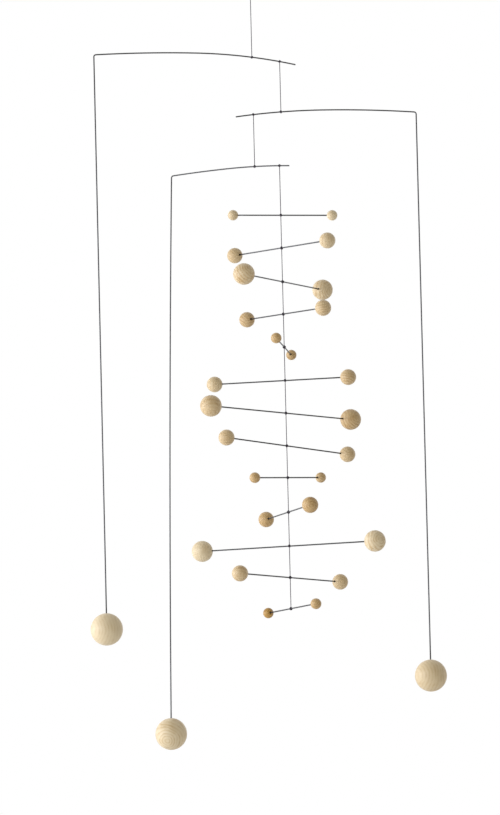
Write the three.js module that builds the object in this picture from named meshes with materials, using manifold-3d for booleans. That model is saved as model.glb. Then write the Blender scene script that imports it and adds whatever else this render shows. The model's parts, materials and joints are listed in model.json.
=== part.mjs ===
// A hanging mobile. Three bent wire arms hang one below the other on short threads, each with a wooden
// ball at the foot of its long leg. A thread below the lowest arm carries thirteen straight rods, one
// under another, with a wooden ball at each end. Every arm, and the string of rods, turns on its thread.
// Millimetres and degrees, +Z up, with the origin where the top loop bears on its hook.
import * as THREE from "three";
import { mergeVertices } from "three/addons/utils/BufferGeometryUtils.js";
import Module from "manifold-3d";

const wasm = await Module();
wasm.setup();

// Thread, wire and knots.
const wire = 1.3; // diameter of the arms and the rods
const thread = 0.8; // diameter of every thread
const knot = 3.2; // diameter of a knot round a wire
const clearance = 0.3; // between a piece and what it touches
const bendRadius = 2; // at the shoulder of an arm
const loop = { width: 9, height: 14 };
const hangingLength = 62; // from the loop's knot to the top arm

// Each arm is an arched bar with a leg bent down from one end. Along the bar, distances run from its own
// thread: towards the leg for reach and crown, the other way for back and tail. The arch is flatter on
// the leg's side of its crown than on the side that goes back past the thread.
const arms = {
  top: {
    heading: 190, reach: 152.5, crown: 55.5, frontRadius: 1290, backRadius: 505, back: 27, tail: 42.5,
    leg: 544.5, spread: -2.5, bow: 0,
  },
  middle: {
    heading: 2, reach: 130, crown: 40, frontRadius: 1130, backRadius: 650, back: 26.5, tail: 43.5,
    leg: 539, spread: -3, bow: 0,
  },
  lower: {
    heading: 158, reach: 87, crown: 28.5, frontRadius: 1290, backRadius: 605, back: 25.5, tail: 35.5,
    leg: 536.5, spread: 12.5, bow: 1.5,
  },
};
const upperLink = 49.4; // length of the thread from the top arm to the middle arm
const lowerLink = 50.7; // and from the middle arm to the lower arm

// Wooden balls, with the number of faces round each one and from pole to pole.
const balls = {
  large: { diameter: 30, sides: 20, steps: 10 },
  medium: { diameter: 20, sides: 14, steps: 8 },
  small: { diameter: 15, sides: 12, steps: 6 },
  tiny: { diameter: 10, sides: 8, steps: 6 },
};

// Rods come in three lengths, measured between the centres of their balls.
const rodKinds = {
  long: { span: 168, ball: balls.medium },
  middle: { span: 130, ball: balls.small },
  short: { span: 96, ball: balls.tiny },
};

// The rods from the top down: how far each hangs below the one above, where its right end points, how far
// that end is tipped up, and how far along it, from the middle to the right, its knot is tied.
const rods = [
  { kind: "short", drop: 48, heading: -11, tilt: -3.5, tie: -1.5 },
  { kind: "middle", drop: 31.5, heading: -48, tilt: -2, tie: 2 },
  { kind: "long", drop: 32.5, heading: 63, tilt: 2.5, tie: -4 },
  { kind: "middle", drop: 31, heading: -57, tilt: -3, tie: -1.5 },
  { kind: "short", drop: 31.5, heading: 81, tilt: -2, tie: 2 },
  { kind: "middle", drop: 32, heading: -14, tilt: 0, tie: 4 },
  { kind: "long", drop: 31, heading: 38, tilt: -1.5, tie: 4.5 },
  { kind: "middle", drop: 31, heading: 28, tilt: -5.5, tie: -1 },
  { kind: "short", drop: 30, heading: 49, tilt: 3, tie: -1 },
  { kind: "middle", drop: 32.5, heading: -72, tilt: 1.5, tie: 2.5 },
  { kind: "long", drop: 32, heading: -16, tilt: 1, tie: 1.5 },
  { kind: "middle", drop: 29.5, heading: 43, tilt: -2.5, tie: -1 },
  { kind: "short", drop: 29, heading: -63, tilt: 2.5, tie: -1.5 },
];

const looks = {
  wood: { color: 0xdcc7a0, roughness: 0.6, metalness: 0 },
  steel: { color: 0x2c2c2e, roughness: 0.4, metalness: 0.9 },
  thread: { color: 0x34303a, roughness: 0.9, metalness: 0 },
};

const tubeSides = 8;
const holeRadius = wire / 2 + clearance; // of the hole in a ball or a knot that a wire goes through
const radians = THREE.MathUtils.degToRad;

// A route stepped point by point, so that a long straight stretch takes no more steps than a tight bend.
class Route extends THREE.Curve {
  constructor(points) {
    super();
    this.points = points;
  }

  getPointAt(share) {
    return this.points[Math.round(share * (this.points.length - 1))].clone();
  }

  getTangentAt(share, target = new THREE.Vector3()) {
    const last = this.points.length - 1;
    const here = Math.round(share * last);
    target.set(0, 0, 0);
    for (const i of [Math.max(here, 1), Math.min(here + 1, last)]) {
      target.add(this.points[i].clone().sub(this.points[i - 1]).normalize());
    }
    return target.normalize();
  }
}

function tube(points, diameter) {
  const section = new THREE.Shape().absarc(0, 0, diameter / 2, 0, 2 * Math.PI);
  return new THREE.ExtrudeGeometry(section, {
    steps: points.length - 1,
    curveSegments: tubeSides / 2, // a full circle is drawn with twice this many
    extrudePath: new Route(points),
  });
}

function solid(geometry) {
  const bare = geometry.clone();
  bare.deleteAttribute("normal");
  bare.deleteAttribute("uv");
  const merged = mergeVertices(bare);
  return new wasm.Manifold(
    new wasm.Mesh({
      numProp: 3,
      vertProperties: merged.attributes.position.array,
      triVerts: new Uint32Array(merged.index.array),
    }),
  );
}

function geometryOf(body) {
  const { vertProperties, triVerts } = body.getMesh();
  const geometry = new THREE.BufferGeometry();
  geometry.setAttribute("position", new THREE.BufferAttribute(vertProperties, 3));
  geometry.setIndex(new THREE.BufferAttribute(triVerts, 1));
  geometry.computeVertexNormals();
  return geometry;
}

function piece(name, geometry, look) {
  const mesh = new THREE.Mesh(geometry, new THREE.MeshStandardMaterial(looks[look]));
  mesh.name = name;
  return mesh;
}

// A ball with a blind hole, drilled from its +Y pole to its centre, that the wire is pushed into.
function ballGeometry({ diameter, sides, steps }) {
  const radius = diameter / 2;
  const mouth = Math.asin(holeRadius / radius);
  const profile = [new THREE.Vector2(0, 0), new THREE.Vector2(holeRadius, 0)];
  for (let i = 0; i < steps; i++) {
    const polar = mouth + ((Math.PI - mouth) * i) / steps;
    profile.push(new THREE.Vector2(radius * Math.sin(polar), radius * Math.cos(polar)));
  }
  profile.push(new THREE.Vector2(0, -radius));
  return new THREE.LatheGeometry(profile.reverse(), sides);
}

// A straight round bar along X, from one place to another.
function bar(from, to, diameter, sides = tubeSides) {
  const geometry = new THREE.CylinderGeometry(diameter / 2, diameter / 2, to - from, sides);
  return geometry.rotateZ(-Math.PI / 2).translate((from + to) / 2, 0, 0);
}

function bead() {
  return solid(new THREE.IcosahedronGeometry(knot / 2));
}

// The hole that a wire leaves through a knot, tipped up by the wire's own slope.
function wireHole(tilt) {
  return solid(bar(-knot, knot, 2 * holeRadius, 6).rotateY(-radians(tilt)));
}

// A length of thread hanging straight down, from one height to another.
function hangingThread(top, bottom) {
  const geometry = new THREE.CylinderGeometry(thread / 2, thread / 2, top - bottom, tubeSides);
  return solid(geometry.rotateX(Math.PI / 2).translate(0, 0, (top + bottom) / 2));
}

// Height and slope of an arm's arch at a distance from its thread, towards the leg.
function archRadius(arm, along) {
  return along > arm.crown ? arm.frontRadius : arm.backRadius;
}

function archHeight(arm, along) {
  const belowCrown = (distance) => {
    const radius = archRadius(arm, distance);
    return radius - Math.sqrt(radius ** 2 - (distance - arm.crown) ** 2);
  };
  return belowCrown(0) - belowCrown(along);
}

function archSlope(arm, along) {
  return THREE.MathUtils.radToDeg(-Math.asin((along - arm.crown) / archRadius(arm, along)));
}

// The leg, from the shoulder down to the centre of its ball.
function legCurve(arm) {
  const shoulder = new THREE.Vector3(arm.reach, 0, archHeight(arm, arm.reach));
  const foot = shoulder.clone().add(new THREE.Vector3(arm.spread, 0, -arm.leg));
  const middle = shoulder.clone().lerp(foot, 0.5);
  middle.x += 2 * arm.bow;
  return new THREE.QuadraticBezierCurve3(shoulder, middle, foot);
}

function armRoute(arm) {
  const leg = legCurve(arm);
  const barEnd = arm.reach - bendRadius;
  const points = [];
  const archSteps = 12;
  for (let i = 0; i <= archSteps; i++) {
    const along = -arm.tail + ((barEnd + arm.tail) * i) / archSteps;
    points.push(new THREE.Vector3(along, 0, archHeight(arm, along)));
  }
  const legTop = leg.getPoint(bendRadius / arm.leg);
  const bend = new THREE.QuadraticBezierCurve3(points.at(-1), leg.v0, legTop);
  points.push(...bend.getPoints(5).slice(1));
  const legSteps = arm.bow ? 8 : 1;
  const legEnd = 1 - clearance / arm.leg; // just short of the bottom of the ball's hole
  for (let i = 1; i <= legSteps; i++) {
    points.push(leg.getPoint(THREE.MathUtils.lerp(bendRadius / arm.leg, legEnd, i / legSteps)));
  }
  return points;
}

// A knot tied round an arm at a distance from its thread, towards the leg.
function armKnot(arm, along) {
  return bead().subtract(wireHole(archSlope(arm, along)));
}

// One arm with its ball and its knot, in a group whose origin is where its thread holds it.
function makeArm(name, arm) {
  const group = new THREE.Group();
  group.add(piece(name + "_arm_wire", tube(armRoute(arm), wire), "steel"));
  group.add(piece(name + "_arm_knot", geometryOf(armKnot(arm, 0)), "thread"));
  const leg = legCurve(arm);
  const ball = piece(name + "_arm_ball", ballGeometry(balls.large), "wood");
  ball.position.copy(leg.v2);
  ball.quaternion.setFromUnitVectors(new THREE.Vector3(0, 1, 0), leg.getTangent(1).negate());
  group.add(ball);
  return group;
}

// A thread knotted round one arm that carries what hangs below it. It ends just over the next knot.
function linkThread(name, arm, length) {
  const slack = knot / 2 + clearance;
  const body = hangingThread(0, -length + slack).add(bead()).subtract(wireHole(archSlope(arm, -arm.back)));
  return piece(name, geometryOf(body), "thread");
}

// Hangs a group below the back of an arm, turned to its own heading.
function hangBelow(arm, group, drop, heading) {
  group.position.set(-arm.back, 0, archHeight(arm, -arm.back) - drop);
  group.rotation.z = radians(heading - arm.heading);
  return group;
}

function makeHangingThread() {
  const knotHeight = thread / 2 - loop.height;
  const base = new THREE.Vector3(0, 0, knotHeight);
  const lift = (4 / 3) * loop.height; // a cubic with both ends at the knot rises to 3/4 of this
  const swing = Math.sqrt(3) * loop.width; // and swings out to 1 / (2 * sqrt 3) of this
  const left = new THREE.Vector3(-swing, 0, knotHeight + lift);
  const right = new THREE.Vector3(swing, 0, knotHeight + lift);
  const eye = new THREE.CubicBezierCurve3(base, left, right, base).getPoints(20);
  const loopKnot = bead().translate([0, 0, knotHeight]);
  const bottom = knotHeight - hangingLength + knot / 2 + clearance;
  const body = solid(tube(eye, thread)).add(loopKnot).add(hangingThread(knotHeight, bottom));
  return piece("hanging_thread", geometryOf(body), "thread");
}

// One rod along its own X, with the knot at its origin and a ball at each end.
function makeRod(name, rod) {
  const { span, ball } = rodKinds[rod.kind];
  const group = new THREE.Group();
  group.rotation.set(0, -radians(rod.tilt), radians(rod.heading), "ZYX");
  const right = span / 2 - rod.tie;
  const left = right - span;
  group.add(piece(name + "_wire", bar(left + clearance, right - clearance, wire), "steel"));
  for (const [side, place, turn] of [["left", left, -90], ["right", right, 90]]) {
    const end = piece(name + "_" + side + "_ball", ballGeometry(ball), "wood");
    end.position.x = place;
    end.rotation.z = radians(turn); // the hole faces the middle of the rod
    group.add(end);
  }
  return group;
}

// The long thread with its rods, from the swivel under the lower arm down to the last knot.
function makeRodString() {
  const group = new THREE.Group();
  const lowest = -rods.reduce((sum, rod) => sum + rod.drop, 0);
  let body = hangingThread(-knot / 2 - clearance, lowest);
  let height = 0;
  rods.forEach((rod, i) => {
    height -= rod.drop;
    const hole = wireHole(rod.tilt).rotate([0, 0, rod.heading]);
    body = body.add(bead().translate([0, 0, height])).subtract(hole.translate([0, 0, height]));
    const made = makeRod("rod_" + String(i + 1).padStart(2, "0"), rod);
    made.position.z = height;
    group.add(made);
  });
  group.add(piece("rod_thread", geometryOf(body), "thread"));
  return group;
}

function makeMobile() {
  const { top, middle, lower } = arms;
  const topArm = makeArm("top", top);
  const middleArm = makeArm("middle", middle);
  const lowerArm = makeArm("lower", lower);

  topArm.position.z = thread / 2 - loop.height - hangingLength;
  topArm.rotation.z = radians(top.heading);
  topArm.add(hangBelow(top, linkThread("upper_link_thread", top, upperLink), 0, top.heading));
  topArm.add(hangBelow(top, middleArm, upperLink, middle.heading));
  middleArm.add(hangBelow(middle, linkThread("lower_link_thread", middle, lowerLink), 0, middle.heading));
  middleArm.add(hangBelow(middle, lowerArm, lowerLink, lower.heading));

  const rodKnot = piece("rod_thread_knot", geometryOf(armKnot(lower, -lower.back)), "thread");
  lowerArm.add(hangBelow(lower, rodKnot, 0, lower.heading));
  lowerArm.add(hangBelow(lower, makeRodString(), 0, 0));

  const mobile = new THREE.Group();
  mobile.add(makeHangingThread(), topArm);
  return mobile;
}

export default makeMobile();
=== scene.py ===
import json
import math

import bmesh
import bpy
from mathutils import Euler, Matrix, Vector
from mathutils.geometry import interpolate_bezier


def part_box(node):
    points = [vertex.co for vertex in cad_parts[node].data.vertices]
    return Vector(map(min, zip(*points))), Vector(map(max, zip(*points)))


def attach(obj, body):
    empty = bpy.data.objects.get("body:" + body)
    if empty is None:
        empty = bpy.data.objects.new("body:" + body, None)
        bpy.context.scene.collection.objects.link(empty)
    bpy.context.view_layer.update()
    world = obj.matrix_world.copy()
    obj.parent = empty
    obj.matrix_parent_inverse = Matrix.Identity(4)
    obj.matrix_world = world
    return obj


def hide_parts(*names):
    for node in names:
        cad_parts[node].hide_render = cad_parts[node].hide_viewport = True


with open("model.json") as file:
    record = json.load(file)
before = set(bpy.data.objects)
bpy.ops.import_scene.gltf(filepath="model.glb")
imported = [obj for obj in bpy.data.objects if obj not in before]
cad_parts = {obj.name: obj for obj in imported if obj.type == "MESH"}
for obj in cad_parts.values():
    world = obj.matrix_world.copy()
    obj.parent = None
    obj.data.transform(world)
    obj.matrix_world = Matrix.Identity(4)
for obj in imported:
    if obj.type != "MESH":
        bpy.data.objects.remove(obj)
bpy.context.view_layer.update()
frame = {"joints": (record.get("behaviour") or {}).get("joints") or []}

mm = 0.001
up = Vector((0, 0, 1))
across = Vector((0, 1, 0))
origin = Vector((0, 0, 0))
swivels = {joint["child"]: Vector(joint["pos_m"]) / mm for joint in frame["joints"]}

cameraView = {
    "place": (-0.010, -2.5058, -0.7039),
    "pitch": 6.6,  # degrees above the level
    "roll": -1.4,
    "lens": 117.85,
}


def makeCamera():
    pitch = Matrix.Rotation(math.radians(90 + cameraView["pitch"]), 3, "X")
    roll = Matrix.Rotation(math.radians(cameraView["roll"]), 3, "Z")
    data = bpy.data.cameras.new("camera")
    data.lens = cameraView["lens"]
    camera = bpy.data.objects.new("camera", data)
    bpy.context.collection.objects.link(camera)
    camera.location = cameraView["place"]
    camera.rotation_euler = (pitch @ roll).to_euler()
    bpy.context.scene.camera = camera


makeCamera()
print("camera placed")

wire = {
    "diameter": 1.3,
    "sides": 16,
    "endChamfer": 0.18,
    "clearance": 0.3,  # between a wire's end and the bottom of its hole
}
thread = {
    "diameter": 0.8,
    "strand": 0.5,
    "strands": 3,
    "strandSides": 6,
    "lay": 2.6,  # height of one full twist
    "stepsPerTwist": 10,
}
knot = {
    "room": 1.1,  # how far over the wire's axis the thread runs into the knot
    "strand": 0.56,  # thread pulled tight is thinner
    "turns": 3,
    "pitch": 0.6,
    "crossing": 1.25,  # turns of the strand that locks the others
    "stepsPerTurn": 14,
    "sides": 6,
}


# the small tools that the finishes share

def newMaterial(name):
    material = bpy.data.materials.new(name)
    material.use_nodes = True
    tree = material.node_tree
    return material, tree, tree.nodes["Principled BSDF"]


def node(tree, kind, inputs=None, **settings):
    made = tree.nodes.new("ShaderNode" + kind)
    for key, value in settings.items():
        setattr(made, key, value)
    for key, value in (inputs or {}).items():
        if isinstance(value, bpy.types.NodeSocket):
            tree.links.new(value, made.inputs[key])
        else:
            made.inputs[key].default_value = value
    return made


def grey(value):
    return (value, value, value, 1)


def ramp(tree, factor, stops):
    made = node(tree, "ValToRGB", {"Fac": factor})
    elements = made.color_ramp.elements
    elements.remove(elements[1])
    elements[0].position, elements[0].color = stops[0]
    for place, colour in stops[1:]:
        elements.new(place).color = colour
    return made.outputs["Color"]


def mix(tree, factor, a, b, blend="MIX"):
    inputs = {0: factor, 6: a, 7: b}
    return node(tree, "Mix", inputs, data_type="RGBA", blend_type=blend).outputs[2]


def times(tree, value, factor):
    return node(tree, "Math", {0: value, 1: factor}, operation="MULTIPLY").outputs[0]


def spread(tree, value, low, high):
    inputs = {"Value": value, "From Min": 0.3, "From Max": 0.7, "To Min": low, "To Max": high}
    return node(tree, "MapRange", inputs).outputs[0]


def bump(tree, height, distance, strength, normal=None):
    inputs = {"Height": height, "Distance": distance, "Strength": strength}
    if normal is not None:
        inputs["Normal"] = normal
    return node(tree, "Bump", inputs).outputs["Normal"]


def noise(tree, place, scale, detail=2.0, roughness=0.5):
    inputs = {"Vector": place, "Scale": scale, "Detail": detail, "Roughness": roughness}
    return node(tree, "TexNoise", inputs)


def vectorMath(tree, operation, *values):
    return node(tree, "VectorMath", dict(enumerate(values)), operation=operation).outputs[0]


beech = {
    "pale": (0.70, 0.575, 0.37),
    "golden": (0.50, 0.32, 0.12),
    "ringDark": (0.74, 0.62, 0.45),  # what the late wood of a ring leaves of each colour
    "heartDark": (0.80, 0.70, 0.54),  # and a brown patch
    "fleckDark": (0.72, 0.60, 0.45),
    "roughness": (0.42, 0.62),
    "ringRelief": 0.00002,
    "fibreRelief": 0.000004,
}
# how far the wood of each board has turned from pale to golden
boards = {"pale": 0, "straw": 0.2, "honey": 0.45, "golden": 0.65, "amber": 0.85, "brown": 1.25}


def shade(colour, left):
    return [c * k for c, k in zip(colour, left)] + [1]


# cut says how the ball was sawn from the trunk: where the middle of its rings lies, in radii to the
# right and up from the ball's own middle, how the trunk nods and swings, and what shows of its rings
def woodMaterial(name, centre, radius, cut):
    material, tree, shader = newMaterial(name)
    # the trunk's Z runs roughly from front to back through the ball
    lean = Euler((math.radians(90 + cut["nod"]), 0, math.radians(cut["swing"])))
    turn = lean.to_matrix().inverted()
    pith = centre + Vector((cut["pith"][0], 0, cut["pith"][1])) * radius
    place = node(tree, "TexCoord").outputs["Object"]
    mapping = {"Vector": place, "Location": -(turn @ pith), "Rotation": turn.to_euler()}
    mapping["Scale"] = (1000, 1000, 1000)
    trunk = node(tree, "Mapping", mapping).outputs["Vector"]
    sway = vectorMath(tree, "SUBTRACT", noise(tree, trunk, 0.09).outputs["Color"], (0.5, 0.5, 0.5))
    swayed = vectorMath(tree, "MULTIPLY_ADD", sway, (4.5, 4.5, 4.5), trunk)
    waves = {"Vector": swayed, "Scale": math.pi / 10 / cut["width"], "Distortion": 0.6, "Detail Scale": 0.8}
    ringKind = {"wave_type": "RINGS", "rings_direction": "Z", "wave_profile": "SAW"}
    rings = node(tree, "TexWave", waves, **ringKind).outputs["Fac"]
    lateStops = [(0, 0.25), (0.3, 0), (0.72, 0.75), (0.88, 1), (1, 0.25)]
    late = ramp(tree, rings, [(at, grey(value)) for at, value in lateStops])
    # fibres and short dark flecks run along the trunk
    stretched = vectorMath(tree, "MULTIPLY", trunk, (1, 1, 0.16))
    fibres = noise(tree, stretched, 4.5, 4, 0.6).outputs["Fac"]
    fleckNoise = noise(tree, stretched, 1.9, 1, 0.4).outputs["Fac"]
    flecks = ramp(tree, fleckNoise, [(0.6, grey(0)), (0.7, grey(1))])
    uneven = ramp(tree, noise(tree, trunk, 0.16, 1).outputs["Fac"], [(0.35, grey(0.35)), (0.6, grey(1))])
    patches = noise(tree, swayed, cut["patch"], 1.5).outputs["Fac"]
    heart = ramp(tree, patches, [(0.45, grey(0)), (0.68, grey(1))])
    depth = boards[cut["board"]]
    body = [a + (b - a) * depth for a, b in zip(beech["pale"], beech["golden"])]
    brown = shade(body, beech["heartDark"])
    colour = mix(tree, times(tree, heart, cut["brown"]), body + [1], brown)
    ringShare = times(tree, mix(tree, 1, late, uneven, "MULTIPLY"), cut["rings"])
    colour = mix(tree, ringShare, colour, (*beech["ringDark"], 1), "MULTIPLY")
    colour = mix(tree, times(tree, flecks, 0.2), colour, (*beech["fleckDark"], 1), "MULTIPLY")
    fibreTone = ramp(tree, fibres, [(0.3, grey(0.96)), (0.7, grey(1))])
    tree.links.new(mix(tree, 1, colour, fibreTone, "MULTIPLY"), shader.inputs["Base Color"])
    tree.links.new(spread(tree, fibres, *beech["roughness"]), shader.inputs["Roughness"])
    raised = bump(tree, rings, beech["ringRelief"], 0.5)
    tree.links.new(bump(tree, fibres, beech["fibreRelief"], 0.7, raised), shader.inputs["Normal"])
    shader.inputs["IOR"].default_value = 1.5
    shader.inputs["Sheen Weight"].default_value = 0.15
    shader.inputs["Sheen Roughness"].default_value = 0.4
    return material


steel = {
    "dark": (0.012, 0.012, 0.013, 1),
    "worn": (0.045, 0.043, 0.043, 1),
    "roughness": (0.28, 0.46),
    "relief": 0.00001,
}


# dark drawn steel: mottled oxide with small worn specks
def steelMaterial():
    material, tree, shader = newMaterial("blackenedSteel")
    place = node(tree, "TexCoord").outputs["Object"]
    fine = noise(tree, place, 3800, 3, 0.6).outputs["Fac"]
    broad = noise(tree, place, 160).outputs["Fac"]
    worn = ramp(tree, broad, [(0.45, grey(0.05)), (0.72, grey(0.8))])
    specks = ramp(tree, fine, [(0.42, grey(0)), (0.66, grey(1))])
    share = mix(tree, 1, worn, specks, "MULTIPLY")
    tree.links.new(mix(tree, share, steel["dark"], steel["worn"]), shader.inputs["Base Color"])
    tree.links.new(spread(tree, broad, *steel["roughness"]), shader.inputs["Roughness"])
    tree.links.new(bump(tree, fine, steel["relief"], 0.5), shader.inputs["Normal"])
    shader.inputs["IOR"].default_value = 1.7
    return material


cotton = {
    "dark": (0.022, 0.014, 0.025, 1),
    "light": (0.075, 0.060, 0.080, 1),
    "relief": 0.00004,
}


# twisted cotton with fibres that catch the light
def cottonMaterial():
    material, tree, shader = newMaterial("darkCotton")
    place = node(tree, "TexCoord").outputs["Object"]
    drawn = node(tree, "Mapping", {"Vector": place, "Scale": (1, 1, 0.3)}).outputs["Vector"]
    fibres = noise(tree, drawn, 9000, 3, 0.65).outputs["Fac"]
    uneven = noise(tree, place, 210, 1).outputs["Fac"]
    share = mix(tree, 0.35, ramp(tree, fibres, [(0.38, grey(0)), (0.68, grey(1))]), uneven)
    tree.links.new(mix(tree, share, cotton["dark"], cotton["light"]), shader.inputs["Base Color"])
    tree.links.new(spread(tree, fibres, 0.8, 0.95), shader.inputs["Roughness"])
    tree.links.new(bump(tree, fibres, cotton["relief"], 0.8), shader.inputs["Normal"])
    shader.inputs["Sheen Weight"].default_value = 0.15
    shader.inputs["Sheen Roughness"].default_value = 0.5
    return material


blackenedSteel = steelMaterial()
darkCotton = cottonMaterial()
print("steel and cotton mixed")


# the small tools that the pieces share

def edgesOf(geometry):
    return [g for g in geometry if isinstance(g, bmesh.types.BMEdge)]


def vertsOf(geometry):
    return [g for g in geometry if isinstance(g, bmesh.types.BMVert)]


def facing(direction):
    return direction.to_track_quat("Z", "Y").to_matrix().to_4x4()


def ring(bm, centre, direction, radius, sides):
    place = Matrix.Translation(centre) @ facing(direction)
    verts = bmesh.ops.create_circle(bm, segments=sides, radius=radius, matrix=place)["verts"]
    return verts + list({e for v in verts for e in v.link_edges})


# swings a ring round an axis and leaves a wall behind it; climb moves it a little more at each step
def turnOn(bm, loop, centre, axis, angle, steps, climb=origin):
    return bmesh.ops.spin(
        bm, geom=loop, cent=centre, axis=axis, dvec=climb, angle=angle, steps=steps, use_duplicate=False
    )["geom_last"]


def pushOn(bm, loop, way):
    made = bmesh.ops.extrude_edge_only(bm, edges=edgesOf(loop))["geom"]
    bmesh.ops.translate(bm, vec=way, verts=vertsOf(made))
    return made


def closeEnd(bm, loop):
    return bmesh.ops.edgeloop_fill(bm, edges=edgesOf(loop))["faces"]


def roundRim(bm, cap):
    rim = list({e for f in cap for e in f.edges})
    bmesh.ops.bevel(
        bm, geom=rim, offset=wire["endChamfer"], segments=2, profile=0.5, affect="EDGES", material=-1
    )


# copies a part into a piece, once at each place, and drops the part
def addPart(bm, part, places):
    for place in places:
        mesh = bpy.data.meshes.new("part")
        part.to_mesh(mesh)
        mesh.transform(place)
        bm.from_mesh(mesh)
        bpy.data.meshes.remove(mesh)
    part.free()


def finishPiece(name, bm, body, cadNode, material):
    bmesh.ops.remove_doubles(bm, verts=bm.verts, dist=0.0005)
    bmesh.ops.recalc_face_normals(bm, faces=bm.faces)
    bmesh.ops.scale(bm, vec=(mm, mm, mm), verts=bm.verts)
    mesh = bpy.data.meshes.new(name)
    bm.to_mesh(mesh)
    bm.free()
    mesh.shade_smooth()
    mesh.materials.append(material)
    piece = bpy.data.objects.new(name, mesh)
    bpy.context.collection.objects.link(piece)
    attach(piece, body)
    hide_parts(cadNode)
    return piece


# strands laid round each other, upright, from one height to another
def twist(bm, bottom, top, axis=(0, 0)):
    out = (thread["diameter"] - thread["strand"]) / 2
    steps = max(3, round((top - bottom) / thread["lay"] * thread["stepsPerTwist"]))
    angle = 2 * math.pi * (top - bottom) / thread["lay"]
    strand = bmesh.new()
    start = ring(strand, Vector((out, 0, bottom)), up, thread["strand"] / 2, thread["strandSides"])
    closeEnd(strand, start)
    closeEnd(strand, turnOn(strand, start, origin, up, angle, steps, up * ((top - bottom) / steps)))
    count = thread["strands"]
    around = [Matrix.Rotation(2 * math.pi * n / count, 4, "Z") for n in range(count)]
    addPart(bm, strand, [Matrix.Translation((*axis, 0)) @ turned for turned in around])


# thread wound round an axis, from one end of its winding to the other
def coil(bm, centre, axis, radius, strand, turns, pitch):
    side = axis.orthogonal().normalized()
    begin = centre - axis * (turns * pitch / 2)
    wound = bmesh.new()
    start = ring(wound, begin + side * radius, axis.cross(side), strand / 2, knot["sides"])
    closeEnd(wound, start)
    steps = round(turns * knot["stepsPerTurn"])
    last = turnOn(wound, start, begin, axis, 2 * math.pi * turns, steps, axis * (turns * pitch / steps))
    closeEnd(wound, last)
    addPart(bm, wound, [Matrix.Identity(4)])


# a hitch pulled tight round a wire: turns side by side, and a strand that crosses back over them
def hitch(bm, centre, along):
    inner = wire["diameter"] / 2 + 0.46 * knot["strand"]
    outer = inner + 0.75 * knot["strand"]
    back = -knot["turns"] * knot["pitch"] / 2
    coil(bm, centre, along, inner, knot["strand"], knot["turns"], knot["pitch"])
    coil(bm, centre, along, outer, knot["strand"], knot["crossing"], back)


hangingLoop = {
    "width": 9,
    "height": 14,
    "steps": 60,
    "knotRadius": 0.95,
    "knotStrand": 0.66,
}


def loopLine(base):
    lift = up * (4 / 3 * hangingLoop["height"])
    swing = Vector((math.sqrt(3) * hangingLoop["width"], 0, 0))
    handles = (base, base + lift - swing, base + lift + swing, base)
    return interpolate_bezier(*handles, hangingLoop["steps"] + 1)


def lengthOf(line):
    return sum((b - a).length for a, b in zip(line, line[1:]))


# lays an upright stretch of thread along a flat line
def bendAlong(verts, line):
    marks = [0]
    for a, b in zip(line, line[1:]):
        marks.append(marks[-1] + (b - a).length)
    for v in verts:
        n = next((i for i, mark in enumerate(marks[1:-1]) if mark >= v.co.z), len(line) - 2)
        way = (line[n + 1] - line[n]).normalized()
        before = (line[n] - line[n - 1]).normalized() if n else way
        past = v.co.z - marks[n]
        share = min(1, max(0, past / (marks[n + 1] - marks[n])))
        leaning = before.lerp(way, share).normalized()
        v.co = line[n] + way * past + across.cross(leaning) * v.co.x + across * v.co.y


def makeHangingThread():
    loopKnot = up * (thread["diameter"] / 2 - hangingLoop["height"])
    line = loopLine(loopKnot)
    bottom = swivels["top_arm"].z + knot["room"]
    bm = bmesh.new()
    twist(bm, 0, lengthOf(line))
    bendAlong(bm.verts, line)
    twist(bm, bottom, loopKnot.z)
    strand = hangingLoop["knotStrand"]
    coil(bm, loopKnot, up, hangingLoop["knotRadius"], strand, 3, strand)
    coil(bm, loopKnot, up, hangingLoop["knotRadius"] + strand / 2, strand, 1.25, -1.5 * strand)
    piece = finishPiece("hangingThread", bm, "hanger", "hanging_thread", darkCotton)


makeHangingThread()
print("hanging thread tied")

# Along each bar, distances run from its own thread, towards the leg for reach and crown and the other
# way for back and tail. The arch is flatter in front of its crown than behind it.
arms = {
    "top": {
        "heading": 190, "reach": 152.5, "crown": 55.5, "frontRadius": 1290, "backRadius": 505,
        "back": 27, "tail": 42.5, "leg": 544.5, "spread": -2.5, "bow": 0,
    },
    "middle": {
        "heading": 2, "reach": 130, "crown": 40, "frontRadius": 1130, "backRadius": 650,
        "back": 26.5, "tail": 43.5, "leg": 539, "spread": -3, "bow": 0,
    },
    "lower": {
        "heading": 158, "reach": 87, "crown": 28.5, "frontRadius": 1290, "backRadius": 605,
        "back": 25.5, "tail": 35.5, "leg": 536.5, "spread": 12.5, "bow": 1.5,
    },
}
armBend = 2  # how far from the shoulder's corner its bend starts


def archRadius(arm, along):
    return arm["frontRadius"] if along > arm["crown"] else arm["backRadius"]


def belowCrown(arm, along):
    radius = archRadius(arm, along)
    return radius - math.sqrt(radius**2 - (along - arm["crown"]) ** 2)


def archPoint(arm, along):
    return Vector((along, 0, belowCrown(arm, 0) - belowCrown(arm, along)))


def archWay(arm, along):
    slope = math.asin((along - arm["crown"]) / archRadius(arm, along))
    return Vector((math.cos(slope), 0, -math.sin(slope)))


def footOf(arm):
    return archPoint(arm, arm["reach"]) + Vector((arm["spread"], 0, -arm["leg"]))


def placeOf(name, arm):
    heading = Matrix.Rotation(math.radians(arm["heading"]), 4, "Z")
    return Matrix.Translation(swivels[name + "_arm"]) @ heading


# swings a ring along a circle in the arm's own plane, from one direction to the next
def bendOn(bm, loop, at, way, radius, angle, steps):
    inward = Matrix.Rotation(math.pi / 2, 3, "Y") @ way
    return turnOn(bm, loop, at + inward * radius, across, angle, steps)


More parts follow.
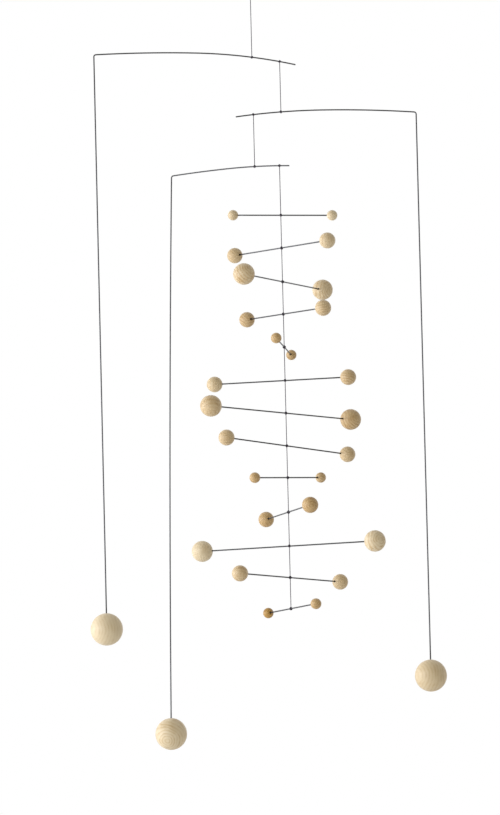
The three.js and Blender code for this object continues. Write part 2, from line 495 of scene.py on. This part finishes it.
def makeArmWire(name, arm):
    bm = bmesh.new()
    tail = archPoint(arm, -arm["tail"])
    tailWay = archWay(arm, -arm["tail"])
    loop = ring(bm, tail, tailWay, wire["diameter"] / 2, wire["sides"])
    tailCap = closeEnd(bm, loop)
    crown = archPoint(arm, arm["crown"])
    level = Vector((1, 0, 0))
    loop = bendOn(bm, loop, tail, tailWay, arm["backRadius"], tailWay.angle(level), 24)
    barEnd = arm["reach"] - armBend
    barWay = archWay(arm, barEnd)
    loop = bendOn(bm, loop, crown, level, arm["frontRadius"], barWay.angle(level), 24)
    # the shoulder turns down into the leg, which starts out a little wider where it is bowed
    corner = archPoint(arm, barEnd)
    shoulder = archPoint(arm, arm["reach"])
    foot = footOf(arm)
    lean = math.atan2(4 * arm["bow"], arm["leg"])
    legWay = Matrix.Rotation(-lean, 3, "Y") @ (foot - shoulder).normalized()
    turned = barWay.angle(legWay)
    tightness = (shoulder - corner).length / math.tan(turned / 2)
    loop = bendOn(bm, loop, corner, barWay, tightness, turned, 12)
    # the leg runs straight, or with a slight bow, into its ball
    legTop = sum((v.co for v in vertsOf(loop)), Vector()) / len(vertsOf(loop))
    chord = foot + (legTop - foot).normalized() * wire["clearance"] - legTop
    if arm["bow"]:
        radius = chord.length**2 / (8 * arm["bow"])
        half = math.asin(chord.length / 2 / radius)
        startWay = Matrix.Rotation(-half, 3, "Y") @ chord.normalized()
        loop = bendOn(bm, loop, legTop, startWay, radius, 2 * half, 24)
    else:
        for _ in range(12):
            loop = pushOn(bm, loop, chord / 12)
    closeEnd(bm, loop)
    roundRim(bm, tailCap)
    bmesh.ops.transform(bm, matrix=placeOf(name, arm), verts=bm.verts)
    finishPiece(name + "ArmWire", bm, name + "_arm", name + "_arm_wire", blackenedSteel)


def makeArmKnot(name, cadNode, body, place, way):
    bm = bmesh.new()
    hitch(bm, place, way)
    finishPiece(name, bm, body, cadNode, darkCotton)


# the thread knotted round the back of one arm, that carries the arm below
def makeLinkThread(name, cadNode, body, place, way, below):
    bm = bmesh.new()
    hitch(bm, place, way)
    twist(bm, swivels[below].z + knot["room"], place.z - wire["diameter"] / 2, place.xy)
    finishPiece(name, bm, body, cadNode, darkCotton)


def makeArms():
    for name, arm in arms.items():
        makeArmWire(name, arm)
        place = placeOf(name, arm)
        body = name + "_arm"
        way = place.to_3x3() @ archWay(arm, 0)
        makeArmKnot(name + "ArmKnot", body + "_knot", body, place.translation, way)
        back = place @ archPoint(arm, -arm["back"])
        backWay = place.to_3x3() @ archWay(arm, -arm["back"])
        if name == "top":
            makeLinkThread("upperLinkThread", "upper_link_thread", body, back, backWay, "middle_arm")
        elif name == "middle":
            makeLinkThread("lowerLinkThread", "lower_link_thread", body, back, backWay, "lower_arm")
        else:
            makeArmKnot("rodThreadKnot", "rod_thread_knot", body, back, backWay)


makeArms()
print("three arms bent, and tied below each other")

ballDetail = {10: 32, 15: 40, 20: 48, 30: 64}  # faces round a ball of each diameter
drilledHole = {
    "radius": wire["diameter"] / 2 + wire["clearance"],
    "mouth": 0.25,  # how much wider its worn mouth is
    "tip": 0.5,  # depth of the drill's point
}
plainCut = {
    "pith": (-2.5, 0.3), "nod": 10, "swing": 8, "width": 2.4, "rings": 0.5,
    "patch": 0.11, "brown": 0.3, "board": "honey",
}
cuts = {
    "topArm": {"pith": (-1.7, 0.1), "width": 2.9, "rings": 0.45, "board": "pale", "brown": 0.1},
    "middleArm": {"pith": (-1.9, -0.2), "width": 3.0, "board": "straw", "nod": -12},
    "lowerArm": {"pith": (-0.35, -0.2), "width": 2.5, "rings": 0.8, "board": "pale", "nod": 14},
    "rod01Left": {"board": "straw", "pith": (1.5, 1.0)},
    "rod01Right": {"board": "pale", "pith": (0.8, 1.9)},
    "rod02Left": {"board": "honey", "pith": (0.5, 1.6), "rings": 0.6},
    "rod02Right": {"board": "straw", "pith": (2.4, 0.5)},
    "rod03Left": {"board": "straw", "pith": (0.65, 0.75), "rings": 1.0, "brown": 0.8},
    "rod03Right": {"board": "straw", "pith": (0.55, -0.15), "rings": 0.9, "swing": 20},
    "rod04Left": {"board": "golden", "pith": (0.2, 1.5), "rings": 0.9},
    "rod04Right": {"board": "honey", "pith": (0.3, -2.0)},
    "rod05Left": {"board": "amber", "pith": (0.5, 0.6), "rings": 0.8},
    "rod05Right": {"board": "amber", "pith": (0.4, 0.9), "rings": 0.9},
    "rod06Left": {"board": "straw", "pith": (2.2, -0.2)},
    "rod06Right": {"board": "honey", "pith": (-0.3, -1.3), "rings": 0.9},
    "rod07Left": {"board": "honey", "pith": (0.1, -0.55), "rings": 0.7, "width": 3.2},
    "rod07Right": {"board": "golden", "pith": (0.5, 0.42), "rings": 1.0, "nod": 20, "brown": 0.8},
    "rod08Left": {"board": "honey", "pith": (0.2, -1.8)},
    "rod08Right": {"board": "honey", "pith": (0.1, 1.6), "rings": 0.6},
    "rod09Left": {"board": "amber", "pith": (0.2, 0.3), "rings": 0.8},
    "rod09Right": {"board": "golden", "pith": (0.1, 0.1), "rings": 1.0},
    "rod10Left": {"board": "amber", "pith": (1.0, 0.6), "rings": 0.7},
    "rod10Right": {"board": "amber", "pith": (0.35, 0.0), "rings": 1.0, "swing": -12},
    "rod11Left": {"board": "pale", "pith": (2.6, 0.1), "rings": 0.3},
    "rod11Right": {"board": "pale", "pith": (0.35, 0.02), "rings": 1.0, "nod": -8},
    "rod12Left": {"board": "honey", "pith": (0.1, -0.1), "rings": 0.7},
    "rod12Right": {"board": "honey", "pith": (0.2, 0.1)},
    "rod13Left": {"board": "brown", "pith": (0.5, 0.1), "rings": 0.8},
    "rod13Right": {"board": "amber", "pith": (-0.5, 1.4)},
}


def middleOf(cadNode):
    low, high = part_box(cadNode)
    return (low + high) / 2 / mm


# balls come in steps of 5 mm
def diameterOf(cadNode):
    low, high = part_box(cadNode)
    return 5 * round(max(high - low) / mm / 5)


# a turned ball with a hole drilled to its middle for the wire
def makeBall(name, cadNode, body, centre, holeWay):
    diameter = diameterOf(cadNode)
    around = ballDetail[diameter]
    radius = diameter / 2
    bm = bmesh.new()
    # half its outline: from the far pole to the mouth of the hole, then down the hole to the axis
    pole = bm.verts.new((0, 0, -radius))
    mouth = math.asin((drilledHole["radius"] + drilledHole["mouth"]) / radius)
    arc = turnOn(bm, [pole], origin, across, mouth - math.pi, around // 2)
    end = vertsOf(arc)[0]
    worn = drilledHole["mouth"]
    down = radius * math.cos(mouth) - worn
    for way in (
        (-0.7 * worn, 0, -0.25 * worn),
        (-0.3 * worn, 0, -0.75 * worn),
        (0, 0, -down),
        (-drilledHole["radius"], 0, -drilledHole["tip"]),
    ):
        end = bmesh.ops.extrude_vert_indiv(bm, verts=[end])["verts"][0]
        bmesh.ops.translate(bm, vec=way, verts=[end])
    bmesh.ops.spin(
        bm, geom=bm.verts[:] + bm.edges[:], cent=origin, axis=up, angle=2 * math.pi, steps=around,
        use_merge=True, use_duplicate=False,
    )
    bmesh.ops.transform(bm, matrix=Matrix.Translation(centre) @ facing(holeWay), verts=bm.verts)
    wood = woodMaterial(name + "Beech", centre, radius, {**plainCut, **cuts[name]})
    finishPiece(name + "Ball", bm, body, cadNode, wood)


def makeArmBalls():
    for name, arm in arms.items():
        place = placeOf(name, arm)
        intoLeg = archPoint(arm, arm["reach"]) + Vector((4 * arm["bow"], 0, 0)) - footOf(arm)
        body = name + "_arm"
        makeBall(name + "Arm", body + "_ball", body, place @ footOf(arm), place.to_3x3() @ intoLeg)


makeArmBalls()
print("leg balls turned")

rodCount = 13


def makeRodWire(name, cadNode, left, right):
    way = (right - left).normalized()
    length = (right - left).length - 2 * wire["clearance"]
    bm = bmesh.new()
    loop = ring(bm, left + way * wire["clearance"], way, wire["diameter"] / 2, wire["sides"])
    closeEnd(bm, loop)
    for _ in range(8):
        loop = pushOn(bm, loop, way * (length / 8))
    closeEnd(bm, loop)
    finishPiece(name + "Wire", bm, "rod_string", cadNode, blackenedSteel)


# makes each rod with its balls, and tells where it crosses the thread
def makeRods():
    axis = swivels["rod_string"].xy
    crossings = []
    for n in range(1, rodCount + 1):
        name, cadName = f"rod{n:02}", f"rod_{n:02}"
        left = middleOf(cadName + "_left_ball")
        right = middleOf(cadName + "_right_ball")
        way = (right - left).normalized()
        makeRodWire(name, cadName + "_wire", left, right)
        makeBall(name + "Left", cadName + "_left_ball", "rod_string", left, way)
        makeBall(name + "Right", cadName + "_right_ball", "rod_string", right, -way)
        along = (axis - left.xy).dot(way.xy) / way.xy.length_squared
        crossings.append((Vector((*axis, left.z + way.z * along)), way))
    return crossings


def makeRodThread(crossings):
    bm = bmesh.new()
    half = wire["diameter"] / 2
    high = swivels["rod_string"].z - half
    for place, way in crossings:
        twist(bm, place.z + half, high, place.xy)
        hitch(bm, place, way)
        high = place.z - half
    finishPiece("rodThread", bm, "rod_string", "rod_thread", darkCotton)


makeRodThread(makeRods())
print("thirteen rods tied to their thread")

studio = {
    "floorHeight": -1.05,
    "floorSize": 6,
    "front": (0.295, 0.285, 0.24, 1),  # light from the camera's side
    "back": (1.1, 1.11, 1.13, 1),  # and from the white behind the mobile
    "keyPlace": (-2.1, -2.1, -0.2),
    "keyPower": 44,
    "keySize": 1.5,
    "sidePlace": (-3.0, -0.1, -0.3),
    "sidePower": 57,
    "sideSize": 1.6,
    "lampColour": (0.87, 0.90, 1.0),
}


def makeFloor():
    bm = bmesh.new()
    place = Matrix.Translation((0, 0, studio["floorHeight"]))
    bmesh.ops.create_grid(bm, x_segments=1, y_segments=1, size=studio["floorSize"] / 2, matrix=place)
    mesh = bpy.data.meshes.new("floor")
    bm.to_mesh(mesh)
    bm.free()
    floor = bpy.data.objects.new("floor", mesh)
    bpy.context.collection.objects.link(floor)
    material, tree, shader = newMaterial("paleFloor")
    mottle = noise(tree, node(tree, "TexCoord").outputs["Object"], 3, 3).outputs["Fac"]
    tree.links.new(mix(tree, mottle, grey(0.86), grey(0.9)), shader.inputs["Base Color"])
    shader.inputs["Roughness"].default_value = 0.8
    mesh.materials.append(material)


# white to look at, and a softer light on the mobile that is stronger from behind
def makeSurround():
    world = bpy.data.worlds.new("studio")
    bpy.context.scene.world = world
    world.use_nodes = True
    tree = world.node_tree
    direction = node(tree, "SeparateXYZ", {0: node(tree, "TexCoord").outputs["Generated"]}).outputs["Y"]
    behind = node(tree, "MapRange", {"Value": direction, "From Min": -0.25, "From Max": 0.25}).outputs[0]
    colour = mix(tree, behind, studio["front"], studio["back"])
    lit = node(tree, "Background", {"Color": colour}).outputs[0]
    seen = node(tree, "Background", {"Color": grey(1)}).outputs[0]
    looking = node(tree, "LightPath").outputs["Is Camera Ray"]
    blend = node(tree, "MixShader", {0: looking, 1: lit, 2: seen}).outputs[0]
    tree.links.new(blend, tree.nodes["World Output"].inputs["Surface"])


def makeLamp(name):
    data = bpy.data.lights.new(name, "AREA")
    data.shape = "DISK"
    data.size = studio[name + "Size"]
    data.energy = studio[name + "Power"]
    data.color = studio["lampColour"]
    lamp = bpy.data.objects.new(name, data)
    bpy.context.collection.objects.link(lamp)
    lamp.location = studio[name + "Place"]
    aim = Vector((0, 0, -0.4)) - lamp.location
    lamp.rotation_euler = aim.to_track_quat("-Z", "Y").to_euler()
    lamp.visible_camera = False


makeFloor()
makeSurround()
makeLamp("key")
makeLamp("side")
bpy.context.scene.view_settings.view_transform = "Standard"
print("studio lit")
